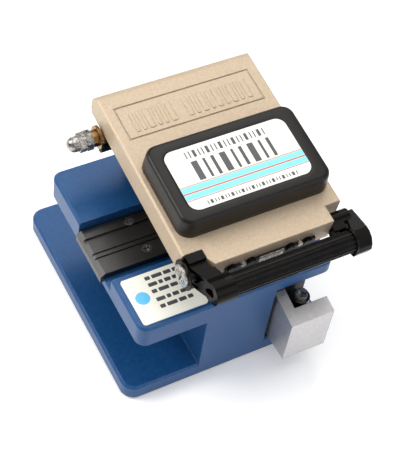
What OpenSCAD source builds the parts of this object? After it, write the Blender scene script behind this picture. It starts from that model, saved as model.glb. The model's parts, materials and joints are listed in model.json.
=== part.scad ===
// Bench cleaver for optical fibre: a blue C-shaped frame carries a black fibre
// guide, a sprung lid with clamps and anvil, a latch handle, and a slider that
// takes a round blade under the fibre. Units are millimetres, +Z is up, -Y is
// the front (handle and slider side), +X is right. The origin is the middle of
// the overall width and depth, at the level of the feet.

/* [Frame] */
// overall width of the bottom plate
base_w = 60; // [54:0.5:80]
// overall depth of the bottom plate
base_d = 65; // [60:0.5:90]
// thickness of the bottom plate
base_t = 4.5; // [4:0.1:8]
// height of the platform top above the underside of the plate
platform_z = 31.7; // [30:0.1:45]
// thickness of the platform over the left gap
platform_t = 7.1; // [6:0.1:9]
// thickness of the front lip over the slider bay
lip_t = 4; // [3:0.1:5]
// thickness of the platform above the slider bay behind the lip
bay_roof_t = 5.4; // [5.2:0.1:5.8]
// plate left uncovered behind the platform
rear_ledge = 10; // [4:0.5:16]
// how far the plate stands out past each side of the platform
side_step = 1.85; // [0.5:0.05:4]
// width of the upright wall
wall_w = 19.9; // [12:0.1:22]
// width of the slider bay from the wall to the platform end
bay_w = 17.15; // [17:0.05:24]
// radius of the upright corners of the plate
corner_r = 3.8; // [2:0.1:6]
// radius of the upright corners of the platform
platform_r = 2.8; // [1.5:0.1:4]
// chamfer along the top edges
edge_c = 0.6; // [0.3:0.1:1.5]

/* [Feet] */
// diameter of one rubber foot
foot_d = 8; // [5:0.5:11]
// how far the feet stand below the plate
foot_h = 0.8; // [0.4:0.1:2]
// depth of the recess that holds a foot
foot_recess = 0.7; // [0.3:0.1:0.8]
// distance of the foot centres from the plate edges
foot_inset = 8; // [6:0.5:14]

/* [Fibre guide] */
// width of the channel across the platform
channel_w = 19.3; // [17:0.1:22]
// depth of the channel under the guide plate
channel_depth = 4.7; // [4:0.1:5.5]
// thickness of the guide plate
guide_t = 2; // [1.4:0.1:3]
// depth of the guide plate from front to back
guide_d = 15; // [12:0.1:16.5]
// width of the broad groove
broad_groove = 1.2; // [0.6:0.1:2]
// width and depth of the two thin grooves
thin_groove = 0.45; // [0.3:0.05:0.8]
// diameter of the guide screw heads
guide_screw_d = 2.6; // [2:0.1:3.4]

/* [Lid] */
// distance from the left end of the plate to the lid
lid_x0 = 14; // [10:0.5:20]
// how far the lid stops short of the right end of the plate
lid_right_gap = 1.1; // [0:0.1:4]
// thickness of the lid
lid_t = 7.25; // [6:0.05:10]
// downward slope of the lid top toward the front as drawn
lid_slope = 6.25; // [3:0.25:9]
// how far the lid is raised from closed as drawn
lid_ajar = 3; // [1:0.25:5]
// height of the hinge axis above the platform
hinge_up = 13.8; // [13:0.1:18]
// distance of the hinge axis from the back of the platform
hinge_inset = 4; // [3.5:0.1:8]
// clearance between the hinge axis and the lid underside
hinge_drop = 2.1; // [2.1:0.05:2.6]
// length of the lid behind the hinge axis
lid_tail = 7.05; // [6:0.05:8]
// depth of the front corner notches
notch_d = 4.8; // [4.6:0.1:6]
// width of the front corner notches
notch_w = 5.3; // [5:0.1:8]
// radius along the back top edge
lid_back_r = 3; // [1:0.1:4]

/* [Pad and labels] */
// height of the soft pad on the lid
pad_h = 6; // [3:0.1:9]
// distance of the pad from the left side of the lid
pad_inset = 1.6; // [1:0.1:6]
// distance of the pad from the right side of the lid
pad_gap = 0.8; // [0.6:0.1:4]
// distance of the pad from the lid front
pad_front = 8.5; // [6:0.1:12]
// room kept behind the pad for the engraved frame
pad_rear = 23; // [20:0.1:28]
// radius of the pad corners
pad_r = 3.4; // [2:0.1:6]
// border of the pad in front of its label
label_front = 3.4; // [2.5:0.1:6]
// border of the pad behind its label
label_rear = 3.9; // [2.5:0.1:6]
// border of the pad left of its label
label_left = 3.8; // [2.5:0.1:8]
// border of the pad right of its label
label_right = 4.5; // [2.5:0.1:8]
// thickness of the labels
label_t = 0.3; // [0.2:0.05:0.5]
// width of the label on the platform
note_w = 18; // [10:0.1:20]

/* [Handle] */
// diameter of the fluted grip
grip_d = 5.9; // [5:0.1:6]
// diameter of the collar at the left end of the grip
collar_d = 6.8; // [6:0.1:6.9]
// length of that collar
collar_l = 5.6; // [4:0.1:9]
// distance from the handle pivot forward to the grip axis
grip_reach = 6.6; // [6.5:0.05:8]
// drop from the handle pivot to the grip axis
grip_drop = 0.55; // [0.3:0.05:1]
// number of flutes round the grip
flute_count = 16; // [8:1:20]
// diameter of the pivot screw head
pivot_head_d = 5.9; // [4:0.1:6.6]
// diameter of the disc of the left arm under the screw head
boss_d = 8; // [6:0.1:8.4]
// thickness of the right arm outside the lid
arm_cover = 3; // [2:0.1:4]

/* [Slider] */
// width of the slider block
block_w = 12.9; // [12.4:0.1:15]
// gap between the wall and the slider block
block_gap = 1; // [0.6:0.1:2]
// how far the block stands out in front of the frame
block_out = 8.4; // [7:0.1:12]
// thickness of the front part of the block
block_t = 4.4; // [3:0.1:5]
// height of the block at its front face
block_h = 15.8; // [12:0.1:17]
// travel of the slider from front to back
slide_travel = 28; // [20:0.5:29]
// width of the slide rail
rail_w = 7; // [5:0.1:8]
// height of the rail above the floor of its channel
rail_h = 3.7; // [3.3:0.1:3.8]
// diameter of the round blade
blade_d = 15; // [12:0.1:15.4]
// thickness of the round blade at its hub
blade_t = 1.6; // [1:0.1:2.2]

/* [Fits] */
// running clearance on a radius
run_fit = 0.05; // [0.01:0.01:0.1]
// clearance between parts that slide past each other
slide_gap = 0.15; // [0.1:0.05:0.3]
// side clearance between handle and lid
arm_gap = 0.3; // [0.25:0.05:0.6]

/* [Hidden] */
$fn = 48;
platform_w = base_w - 2 * side_step;
platform_d = base_d - rear_ledge;
platform_x1 = base_w - side_step;
wall_x1 = platform_x1 - bay_w;
wall_x0 = wall_x1 - wall_w;
left_under = platform_z - platform_t;
lip_under = platform_z - lip_t;
bay_roof = platform_z - bay_roof_t;
channel_mid = platform_d * 0.488;
channel_y0 = channel_mid - channel_w / 2;
channel_y1 = channel_mid + channel_w / 2;
channel_floor = platform_z - channel_depth;
fibre_y = channel_mid + 0.35;
seat_floor = bay_roof + 1.1;
seat_t = 1;
rubber_t = 0.55;
fibre_z = seat_floor + seat_t + rubber_t;
slide_x = wall_x1 + block_gap + block_w / 2;
blade_z = fibre_z - blade_d / 2 + 0.05;
blade_y = 12;
slot_w = 3;
guide_x0 = 1;
guide_x1 = slide_x - 8.4;
guide_y1 = channel_y1 - 0.3;
guide_y0 = guide_y1 - guide_d;
guide_top = channel_floor + guide_t;
hinge_y = platform_d - hinge_inset;
hinge_z = platform_z + hinge_up;
lid_x1 = base_w - lid_right_gap;
lid_w = lid_x1 - lid_x0;
lid_front = -(hinge_y - 1.54);
lid_len = lid_tail - lid_front;
lid_top = hinge_drop + lid_t;
tongue_x0 = lid_x0 + notch_w;
tongue_x1 = lid_x1 - notch_w + 0.5;
ear_w = 3.8;
ear_r = 2.9;
ear_left = lid_x0 + 8.6;
ear_right = lid_x1 - 5;
shaft_r = 1.5;
bush_r = 2.2;
lug_a0 = lid_x0 + 4.2;
lug_a1 = ear_left - 0.5;
lug_b1 = ear_right - 0.5;
lug_b0 = lug_b1 - 13;
spring_x0 = ear_left + ear_w + 0.6;
spring_x1 = lug_b0 - 0.6;
pivot_v = lid_front + 1.95;
pivot_z = hinge_drop + 3.1;
grip_v = pivot_v - grip_reach;
grip_z = pivot_z - grip_drop;
hub_r = 2.45;
pivot_r = 1;
rod_r = 1.5;
loop_x = lid_x0 + 3.8;
grip_x0 = loop_x + collar_l + 0.1;
grip_x1 = lid_x1 - 1.3;
latch_x0 = grip_x0 + 0.5;
latch_x1 = lid_x1 - 9.4;
lip_v = lid_front - 0.7;
cover_x0 = lid_x1 + arm_gap;
cover_x1 = cover_x0 + arm_cover;
pad_v0 = lid_front + pad_front;
pad_d = lid_len - pad_front - pad_rear;
pad_w = lid_w - pad_inset - pad_gap;
closed_slope = lid_slope + lid_ajar;
frame_x0 = slide_x - 7.8;
frame_x1 = slide_x + 7.8;
frame_y0 = fibre_y - 7.2;
frame_y1 = fibre_y + 7.2;
frame_z0 = platform_z + 2.3;
clamp_z0 = fibre_z + 0.25;
block_x0 = wall_x1 + block_gap;
block_z0 = base_t + 1.3;
carriage_y0 = 6;
carriage_l = 22;
carriage_top = base_t + 5;
bracket_t = 2.5;
bracket_top = carriage_top + bracket_t;
bracket_screw_x = [ear_left + 6.6, ear_right - 2.8];
pin_y = hinge_y - 0.5;
pin_z = hinge_z - 4.2;
pin_r = 1.2;

// ---- helpers -------------------------------------------------------------

// places a shape measured from the front left corner of the plate underside
module at_corner() {
  translate([-cover_x1 / 2, (block_out - base_d) / 2, foot_h]) children();
}

// hinge-centred space of the lid in the drawn, slightly raised position
module lid_space() {
  at_corner() translate([0, hinge_y, hinge_z]) rotate([lid_slope, 0, 0]) children();
}

// parts under the lid are measured with the lid closed, then raised with it
module closed_space() {
  at_corner() translate([0, hinge_y, hinge_z]) rotate([-lid_ajar, 0, 0])
    translate([0, -hinge_y, -hinge_z]) children();
}

// carries an outline drawn in depth and height along the width
module along_x(x0, x1) {
  translate([x0, 0, 0]) rotate([90, 0, 90]) linear_extrude(height = x1 - x0) children();
}

// carries an outline drawn in width and height along the depth
module along_y(y0, y1) {
  translate([0, y1, 0]) rotate([90, 0, 0]) linear_extrude(height = y1 - y0) children();
}

// round bar along the width
module x_rod(r, x0, x1, y, z) {
  translate([x0, y, z]) rotate([0, 90, 0]) cylinder(r = r, h = x1 - x0);
}

// round bar along the depth
module y_rod(r, y0, y1, x, z) {
  translate([x, y1, z]) rotate([90, 0, 0]) cylinder(r = r, h = y1 - y0);
}

// round bar upright
module z_rod(r, z0, z1, x, y) {
  translate([x, y, z0]) cylinder(r = r, h = z1 - z0);
}

// box given by its two far corners
module span(a, b) {
  translate(a) cube([b[0] - a[0], b[1] - a[1], b[2] - a[2]]);
}

// outline of a bar with its two top edges cut off
module bar_outline(w, h, c) {
  polygon([[0, 0], [w, 0], [w, h - c], [w - c, h], [c, h], [0, h - c]]);
}

// slab with rounded upright corners and a chamfer round the top
module slab(w, d, h, r, c) {
  along_x(r, w - r) bar_outline(d, h, c);
  along_y(r, d - r) bar_outline(w, h, c);
  for (x = [r, w - r]) {
    for (y = [r, d - r]) {
      translate([x, y, 0]) cylinder(r = r, h = h - c);
      translate([x, y, h - c]) cylinder(r1 = r, r2 = r - c, h = c);
    }
  }
}

// upright column with its outline drawn in width and depth
module column(z0, z1) {
  translate([0, 0, z0]) linear_extrude(height = z1 - z0) children();
}

// flat rounded rectangle
module tile(w, d, h, r) {
  translate([r, 0, 0]) cube([w - 2 * r, d, h]);
  translate([0, r, 0]) cube([w, d - 2 * r, h]);
  for (x = [r, w - r]) {
    for (y = [r, d - r]) {
      translate([x, y, 0]) cylinder(r = r, h = h);
    }
  }
}

// ---- frame and what is fixed to it ---------------------------------------

module base_frame() {
  color("#2c5fa8") at_corner() difference() {
    union() {
      slab(base_w, base_d, base_t, corner_r, edge_c);
      span([wall_x0, 0, base_t - 1], [wall_x1, platform_d - 3, left_under + 1]);
      translate([side_step, 0, left_under])
        slab(platform_w, platform_d, platform_t, platform_r, edge_c);
    }
    span([wall_x1, -1, left_under - 1], [base_w, 6, lip_under]);
    span([wall_x1, 5, left_under - 1], [base_w, base_d, bay_roof]);
    span([-1, channel_y0, channel_floor], [guide_x1 + 0.5, channel_y1, platform_z + 1]);
    span([guide_x1, channel_y0, seat_floor], [base_w, channel_y1, platform_z + 1]);
    span([slide_x - slot_w / 2, 4.5, bay_roof - 1],
         [slide_x + slot_w / 2, blade_y + slide_travel + 7.5, platform_z + 1]);
    span([slide_x - 6.5, 2.5, base_t - 3], [slide_x + 6.5, base_d - 2.5, base_t + 1]);
    for (x = [foot_inset, base_w - foot_inset]) {
      for (y = [foot_inset, base_d - foot_inset]) {
        z_rod(foot_d / 2, -1, foot_recess, x, y);
      }
    }
    z_rod(2.5, platform_z - 2, platform_z + 1, slide_x - 8.5, 7);
    guide_screw_holes();
    for (x = bracket_screw_x) {
      z_rod(1, platform_z - 3.5, platform_z + 1, x, hinge_y - 3);
    }
    for (y = [10, base_d / 2, base_d - 10]) {
      z_rod(0.75, base_t - 3.6, base_t - 2, slide_x, y);
    }
  }
}

module guide_screw_holes() {
  z_rod(0.8, channel_floor - 2, channel_floor + 1, 15.2, guide_y1 - 1.9);
  z_rod(0.8, channel_floor - 2, channel_floor + 1, 15.6, guide_y0 + 3.4);
  z_rod(0.8, channel_floor - 2, channel_floor + 1, guide_x1 - 4, guide_y0 + 7.5);
}

module rubber_feet() {
  color("#1b1b1b") at_corner() {
    for (x = [foot_inset, base_w - foot_inset]) {
      for (y = [foot_inset, base_d - foot_inset]) {
        z_rod(foot_d / 2, -foot_h, foot_recess, x, y);
      }
    }
  }
}

module fibre_guide_plate() {
  color("#2a2826") at_corner() difference() {
    along_y(guide_y0, guide_y1) polygon([
      [guide_x0, channel_floor - 1.2],
      [side_step, channel_floor - 1.2],
      [side_step, channel_floor],
      [guide_x1, channel_floor],
      [guide_x1, guide_top],
      [guide_x0 + 1.3, guide_top],
      [guide_x0, guide_top - 1.1]
    ]);
    span([0, fibre_y + 4.8, guide_top - 0.6],
         [guide_x1 + 1, fibre_y + 4.8 + broad_groove, guide_top + 1]);
    span([0, fibre_y + 0.5, guide_top - thin_groove],
         [guide_x1 + 1, fibre_y + 0.5 + thin_groove, guide_top + 1]);
    span([0, fibre_y - 1, guide_top - thin_groove],
         [guide_x1 + 1, fibre_y - 1 + thin_groove, guide_top + 1]);
    guide_plate_counterbores();
    guide_screw_holes();
  }
}

module guide_plate_counterbores() {
  z_rod(guide_screw_d / 2 + 0.1, guide_top - 1, guide_top + 1, 15.2, guide_y1 - 1.9);
  z_rod(guide_screw_d / 2 + 0.1, guide_top - 1, guide_top + 1, 15.6, guide_y0 + 3.4);
  z_rod(guide_screw_d / 2 + 0.1, guide_top - 1, guide_top + 1, guide_x1 - 4, guide_y0 + 7.5);
}

// countersunk cross screw with its head at height z
module small_screw(x, y, z, d, len) {
  difference() {
    union() {
      z_rod(d / 2, z - 1, z - 0.1, x, y);
      z_rod(0.8, z - len, z - 1, x, y);
    }
    span([x - d * 0.34, y - 0.17, z - 0.5], [x + d * 0.34, y + 0.17, z]);
    span([x - 0.17, y - d * 0.34, z - 0.5], [x + 0.17, y + d * 0.34, z]);
  }
}

module guide_screws() {
  color("#b9bcc0") at_corner() {
    small_screw(15.2, guide_y1 - 1.9, guide_top, guide_screw_d, guide_t + 2);
    small_screw(15.6, guide_y0 + 3.4, guide_top, guide_screw_d, guide_t + 2);
    small_screw(guide_x1 - 4, guide_y0 + 7.5, guide_top, guide_screw_d, guide_t + 2);
  }
}

module platform_label() {
  color("#eef0ea") at_corner() difference() {
    translate([3.4, 1.4, platform_z]) tile(note_w, channel_y0 - 2.9, label_t, 0.8);
    z_rod(1.9, platform_z - 1, platform_z + 1, 6.6, 8.9);
  }
}

module label_disc() {
  color("#4fb4e6") at_corner() z_rod(1.9, platform_z, platform_z + label_t, 6.6, 8.9);
}

module clamp_seat(x) {
  span([x - 2.2, fibre_y - 6.7, seat_floor], [x + 2.2, fibre_y + 6.3, seat_floor + seat_t]);
}

module lower_clamp_left() {
  color("#9a9da1") at_corner() clamp_seat(slide_x - 4.4);
}

module lower_clamp_right() {
  color("#9a9da1") at_corner() clamp_seat(slide_x + 4.4);
}

module clamp_rubber(x) {
  span([x - 1.7, fibre_y - 5, seat_floor + seat_t], [x + 1.7, fibre_y + 5, fibre_z]);
}

module lower_rubber_left() {
  color("#20201f") at_corner() clamp_rubber(slide_x - 4.4);
}

module lower_rubber_right() {
  color("#20201f") at_corner() clamp_rubber(slide_x + 4.4);
}

module catch_post() {
  color("#a7aaae") at_corner() {
    z_rod(2.5, platform_z - 2, platform_z + 2.6, slide_x - 8.5, 7);
    z_rod(2, platform_z + 2.6, platform_z + 3.1, slide_x - 8.5, 7);
  }
}

// one ear of the hinge bracket
module hinge_ear(x) {
  x_rod(ear_r, x, x + ear_w, hinge_y, hinge_z);
  along_x(x, x + ear_w) polygon([
    [hinge_y - 7, platform_z + 1],
    [hinge_y + 1.2, platform_z + 1],
    [hinge_y + 1.2, hinge_z],
    [hinge_y - 2.8, hinge_z - 0.4]
  ]);
}

module hinge_bracket() {
  color("#1d1d1f") at_corner() difference() {
    union() {
      span([ear_left, hinge_y - 7, platform_z], [ear_right + ear_w, hinge_y + 3.2, platform_z + 2]);
      hinge_ear(ear_left);
      hinge_ear(ear_right);
    }
    x_rod(shaft_r, 0, base_w + 5, hinge_y, hinge_z);
    x_rod(pin_r, 0, ear_left + ear_w - 0.8, pin_y, pin_z);
    for (x = bracket_screw_x) {
      z_rod(1.9, platform_z + 0.8, platform_z + 3, x, hinge_y - 3);
      z_rod(1, platform_z - 1, platform_z + 3, x, hinge_y - 3);
    }
  }
}

module bracket_screws() {
  color("#8f9296") at_corner() {
    for (x = bracket_screw_x) {
      difference() {
        union() {
          z_rod(1.8, platform_z + 0.8, platform_z + 2, x, hinge_y - 3);
          z_rod(1, platform_z - 3.3, platform_z + 0.8, x, hinge_y - 3);
        }
        translate([x, hinge_y - 3, platform_z + 1.2]) cylinder(r = 0.9, h = 2, $fn = 6);
      }
    }
  }
}

module hinge_shaft() {
  color("#c2c5c8") at_corner() x_rod(shaft_r, lid_x0 - 7.4, ear_right + ear_w + 0.6, hinge_y, hinge_z);
}

module hinge_brass_washer() {
  color("#c08a3e") at_corner() difference() {
    x_rod(3.2, lid_x0 - 1.3, lid_x0 - 0.5, hinge_y, hinge_z);
    x_rod(shaft_r, 0, lid_x0, hinge_y, hinge_z);
  }
}

module hinge_spacer() {
  color("#b98f4a") at_corner() difference() {
    x_rod(2.3, lid_x0 - 2.9, lid_x0 - 1.3, hinge_y, hinge_z);
    x_rod(shaft_r, 0, lid_x0, hinge_y, hinge_z);
  }
}

module hinge_hex_nut() {
  color("#b4b7ba") at_corner() difference() {
    translate([lid_x0 - 4.7, hinge_y, hinge_z]) rotate([0, 90, 0]) rotate([0, 0, 8])
      cylinder(r = 2.75, h = 1.8, $fn = 6);
    x_rod(shaft_r, 0, lid_x0, hinge_y, hinge_z);
  }
}

module hinge_cap_nut() {
  color("#cfd1d3") at_corner() difference() {
    union() {
      translate([lid_x0 - 6.6, hinge_y, hinge_z]) rotate([0, 90, 0]) rotate([0, 0, 22])
        cylinder(r = 2.75, h = 1.8, $fn = 6);
      x_rod(2.1, lid_x0 - 7.6, lid_x0 - 6.6, hinge_y, hinge_z);
      intersection() {
        translate([lid_x0 - 7.6, hinge_y, hinge_z]) sphere(r = 2.1);
        span([0, hinge_y - 3, hinge_z - 3], [lid_x0 - 7, hinge_y + 3, hinge_z + 3]);
      }
    }
    x_rod(shaft_r, lid_x0 - 7.4, lid_x0, hinge_y, hinge_z);
  }
}

// keeps the left lug against the bracket
module shaft_collar() {
  color("#18181a") at_corner() difference() {
    x_rod(2, lid_x0 + 0.4, lug_a0 - 0.4, hinge_y, hinge_z);
    x_rod(shaft_r, 0, lug_a0, hinge_y, hinge_z);
  }
}

// short pin under the hinge that the bracket holds
module anchor_pin() {
  color("#2a2a2c") at_corner() difference() {
    x_rod(pin_r, lid_x0 - 0.4, ear_left + ear_w - 0.8, pin_y, pin_z);
    x_rod(0.7, lid_x0 - 1, lid_x0 + 0.6, pin_y, pin_z);
  }
}

// closely wound spring, drawn as touching turns round the shaft
module lid_spring() {
  color("#6f7276") at_corner() {
    difference() {
      union() {
        x_rod(2.35, spring_x0, spring_x1, hinge_y, hinge_z);
        for (i = [0 : 11]) {
          translate([spring_x0 + 0.5 + i * (spring_x1 - spring_x0 - 1) / 11, hinge_y, hinge_z])
            rotate([0, 90, 0]) rotate_extrude() translate([2.35, 0]) circle(r = 0.42, $fn = 24);
        }
      }
      x_rod(shaft_r, 0, base_w, hinge_y, hinge_z);
    }
    y_rod(0.42, hinge_y - 11, hinge_y - 1.9, spring_x0 + 0.7, hinge_z - 0.75);
    z_rod(0.42, platform_z + 2, hinge_z - 1, spring_x1 - 0.7, hinge_y - 2.1);
  }
}

// ---- slide rail -----------------------------------------------------------

module slide_rail() {
  color("#a9acb0") at_corner() difference() {
    along_y(4, base_d - 4) polygon([
      [slide_x - rail_w / 2, base_t - 3],
      [slide_x + rail_w / 2, base_t - 3],
      [slide_x + rail_w / 2, base_t - 1.7],
      [slide_x + rail_w / 2 - 0.6, base_t - 1.4],
      [slide_x + rail_w / 2 - 0.6, base_t - 0.7],
      [slide_x + rail_w / 2, base_t - 0.4],
      [slide_x + rail_w / 2, base_t - 3 + rail_h],
      [slide_x - rail_w / 2, base_t - 3 + rail_h],
      [slide_x - rail_w / 2, base_t - 0.4],
      [slide_x - rail_w / 2 + 0.6, base_t - 0.7],
      [slide_x - rail_w / 2 + 0.6, base_t - 1.4],
      [slide_x - rail_w / 2, base_t - 1.7]
    ]);
    for (y = [10, base_d / 2, base_d - 10]) {
      z_rod(0.75, base_t - 4, base_t + 2, slide_x, y);
      z_rod(1.6, base_t - 1.1, base_t + 2, slide_x, y);
    }
  }
}

module rail_screws() {
  color("#55585c") at_corner() {
    for (y = [10, base_d / 2, base_d - 10]) {
      difference() {
        union() {
          z_rod(1.5, base_t - 1.1, base_t + 0.2, slide_x, y);
          z_rod(0.75, base_t - 3.6, base_t - 1.1, slide_x, y);
        }
        translate([slide_x, y, base_t - 0.6]) cylinder(r = 0.8, h = 2, $fn = 6);
      }
    }
  }
}

// ---- slider ---------------------------------------------------------------

// outline of the carriage seen from the front
module carriage_outline(side, top) {
  g = slide_gap;
  polygon([
    [slide_x - side, base_t - 2.4],
    [slide_x - rail_w / 2 - g, base_t - 2.4],
    [slide_x - rail_w / 2 - g, base_t - 1.7 + g],
    [slide_x - rail_w / 2 + 0.6 - g, base_t - 1.4 + g],
    [slide_x - rail_w / 2 + 0.6 - g, base_t - 0.7 - g],
    [slide_x - rail_w / 2 - g, base_t - 0.4 - g],
    [slide_x - rail_w / 2 - g, base_t - 3 + rail_h + g],
    [slide_x + rail_w / 2 + g, base_t - 3 + rail_h + g],
    [slide_x + rail_w / 2 + g, base_t - 0.4 - g],
    [slide_x + rail_w / 2 - 0.6 + g, base_t - 0.7 - g],
    [slide_x + rail_w / 2 - 0.6 + g, base_t - 1.4 + g],
    [slide_x + rail_w / 2 + g, base_t - 1.7 + g],
    [slide_x + rail_w / 2 + g, base_t - 2.4],
    [slide_x + side, base_t - 2.4],
    [slide_x + side, top],
    [slide_x - side, top]
  ]);
}

module slide_carriage() {
  color("#b3b6ba") at_corner()
    along_y(carriage_y0, carriage_y0 + carriage_l) carriage_outline(6, carriage_top);
}

module carriage_end_caps() {
  color("#2f6b46") at_corner() {
    along_y(carriage_y0 - 1, carriage_y0) carriage_outline(5.7, carriage_top - 0.4);
    along_y(carriage_y0 + carriage_l, carriage_y0 + carriage_l + 1)
      carriage_outline(5.7, carriage_top - 0.4);
  }
}

module blade_bracket() {
  bx0 = block_x0 + 3;
  color("#3a3d42") at_corner() difference() {
    union() {
      span([bx0, -block_out + block_t, carriage_top], [slide_x + 5.5, 27, bracket_top]);
      span([bx0, 2.2, bracket_top - 1], [bx0 + 1.9, 21, blade_z + 3.8]);
      span([slide_x + 1.4, 2.2, bracket_top - 1], [slide_x + 3.4, 21, blade_z + 3.8]);
      span([bx0, 2.2, bracket_top - 1], [slide_x + 3.4, 4, blade_z + 3.8]);
    }
    x_rod(shaft_r, 0, base_w, blade_y, blade_z);
    for (z = [bracket_top + 2.2, bracket_top + 8.6]) {
      x_rod(0.8, bx0 - 1, bx0 + 1.5, 18.4, z);
    }
    z_rod(0.8, carriage_top - 1, bracket_top + 1, slide_x, 24);
  }
}

module blade_axle() {
  color("#c6c8cb") at_corner() difference() {
    union() {
      x_rod(shaft_r, block_x0 + 3.1, slide_x + 3.4, blade_y, blade_z);
      x_rod(2.3, slide_x + 3.4, slide_x + 4.4, blade_y, blade_z);
    }
    span([slide_x + 4, blade_y - 3, blade_z - 0.3], [slide_x + 5, blade_y + 3, blade_z + 0.3]);
  }
}

module slider_block() {
  t = tan(14);
  z0 = block_z0;
  z1 = block_z0 + block_h;
  y0 = -block_out;
  ym = block_t - block_out;
  color("#c9cbcc") at_corner() difference() {
    union() {
      along_x(block_x0, block_x0 + block_w) polygon([
        [y0, z0 + 0.3],
        [y0, z1],
        [ym, z1 + block_t * t],
        [ym, z0]
      ]);
      along_x(block_x0, block_x0 + 3) polygon([
        [ym - 1, z0],
        [ym - 1, z1 + (block_t - 1) * t],
        [1.5, z1 + (block_out + 1.5) * t],
        [21, z1 + (block_out + 1.5) * t],
        [21, carriage_top],
        [carriage_y0 - 1.6, carriage_top],
        [carriage_y0 - 1.6, z0]
      ]);
    }
    for (z = [bracket_top + 2.2, bracket_top + 8.6]) {
      x_rod(0.9, block_x0 - 1, block_x0 + 4, 18.4, z);
      x_rod(1.7, block_x0 - 1, block_x0 + 1.2, 18.4, z);
    }
  }
}

module block_screws() {
  color("#7d8084") at_corner() {
    for (z = [bracket_top + 2.2, bracket_top + 8.6]) {
      difference() {
        union() {
          x_rod(1.6, block_x0 + 0.2, block_x0 + 1.2, 18.4, z);
          x_rod(0.8, block_x0 + 1.2, block_x0 + 4.5, 18.4, z);
        }
        span([block_x0, 18.2, z - 1.2], [block_x0 + 0.6, 18.6, z + 1.2]);
      }
    }
  }
}

module adjuster_sleeve() {
  color("#4a4c50") at_corner() difference() {
    z_rod(2.5, bracket_top, blade_z + 0.6, slide_x + 0.4, -0.9);
    z_rod(0.8, bracket_top + 4, blade_z + 1, slide_x + 0.4, -0.9);
  }
}

module adjuster_screw() {
  color("#d5d7d9") at_corner() difference() {
    union() {
      z_rod(1.7, blade_z + 0.6, blade_z + 2, slide_x + 0.4, -0.9);
      z_rod(0.8, bracket_top + 4.2, blade_z + 0.6, slide_x + 0.4, -0.9);
    }
    translate([slide_x + 0.4, -0.9, blade_z + 1.1]) cylinder(r = 0.9, h = 2, $fn = 6);
  }
}

module bracket_screw() {
  color("#7d8084") at_corner() difference() {
    union() {
      z_rod(1.9, bracket_top, bracket_top + 1.2, slide_x, 24);
      z_rod(0.8, carriage_top, bracket_top, slide_x, 24);
    }
    translate([slide_x, 24, bracket_top + 0.5]) cylinder(r = 0.9, h = 2, $fn = 6);
  }
}

module blade_wheel() {
  r = blade_d / 2;
  h = blade_t / 2;
  b = shaft_r + run_fit;
  color("#8e9196") at_corner() translate([slide_x, blade_y, blade_z]) rotate([0, 90, 0])
    difference() {
      rotate_extrude() polygon([
        [b, -h], [2.8, -h], [3, -h + 0.25], [r - 0.8, -h + 0.25], [r, -0.04],
        [r, 0.04], [r - 0.8, h - 0.25], [3, h - 0.25], [2.8, h], [b, h]
      ]);
      for (a = [0 : 45 : 315]) {
        rotate([0, 0, a]) translate([4.8, 0, -2]) cylinder(r = 0.35, h = 4);
      }
    }
}

// ---- lid ------------------------------------------------------------------

// side view of the lid, hinge axis at the origin, front to the left
module lid_outline() {
  r = lid_back_r;
  polygon([
    [lid_front, hinge_drop],
    [lid_tail - 0.6, hinge_drop],
    [lid_tail, hinge_drop + 1.6],
    [lid_tail, lid_top - r],
    [lid_tail - r, lid_top - r],
    [lid_tail - r, lid_top],
    [lid_front, lid_top]
  ]);
  translate([lid_tail - r, lid_top - r]) circle(r = r);
}

module hinge_lug(x0, x1) {
  x_rod(ear_r, x0, x1, 0, 0);
  span([x0, -ear_r, 0], [x1, ear_r, hinge_drop + 0.5]);
}

module lid() {
  c = 0.45;
  e_v1 = lid_tail - 6.3;
  e_v0 = e_v1 - 10.4;
  e_x0 = lid_x0 + 2.7;
  e_x1 = lid_x1 - 3;
  g = 0.4;
  color("#d9c3a0") lid_space() difference() {
    union() {
      along_x(lid_x0, lid_x1) lid_outline();
      hinge_lug(lug_a0, lug_a1);
      hinge_lug(lug_b0, lug_b1);
    }
    span([lid_x0 - 1, lid_front - 1, -1], [tongue_x0, lid_front + notch_d, lid_top + 1]);
    span([tongue_x1, lid_front - 1, -1], [lid_x1 + 1, lid_front + notch_d, lid_top + 1]);
    column(-1, lid_top + 1) polygon([
      [tongue_x0 - 1, lid_front + 2.1],
      [tongue_x0, lid_front + 2.1],
      [tongue_x0 + 1.2, lid_front],
      [tongue_x0 + 1.2, lid_front - 1],
      [tongue_x0 - 1, lid_front - 1]
    ]);
    x_rod(bush_r, lug_a0 - 1, lug_b1 + 1, 0, 0);
    x_rod(ear_r + 0.4, ear_left - 0.3, ear_left + ear_w + 0.3, 0, 0);
    x_rod(ear_r + 0.4, ear_right - 0.3, ear_right + ear_w + 0.3, 0, 0);
    x_rod(ear_r + 0.2, lug_a1, lug_b0, 0, 0);
    translate([lid_x0, 0, lid_top]) rotate([0, 45, 0])
      cube([c * 1.4142, 200, c * 1.4142], center = true);
    translate([lid_x1, 0, lid_top]) rotate([0, 45, 0])
      cube([c * 1.4142, 200, c * 1.4142], center = true);
    difference() {
      span([e_x0, e_v0, lid_top - 0.3], [e_x1, e_v1, lid_top + 1]);
      span([e_x0 + g, e_v0 + g, lid_top - 1], [e_x1 - g, e_v1 - g, lid_top + 2]);
    }
    x_rod(pivot_r, tongue_x0 - 1, tongue_x0 + 5, pivot_v, pivot_z);
    x_rod(pivot_r, tongue_x1 - 5, tongue_x1 + 1, pivot_v, pivot_z);
  }
}

module hinge_bushes() {
  color("#b98f4a") lid_space() {
    difference() {
      x_rod(bush_r, lug_a0, lug_a1, 0, 0);
      x_rod(shaft_r + run_fit, 0, base_w, 0, 0);
    }
    difference() {
      x_rod(bush_r, lug_b0, lug_b1, 0, 0);
      x_rod(shaft_r + run_fit, 0, base_w, 0, 0);
    }
  }
}

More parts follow.
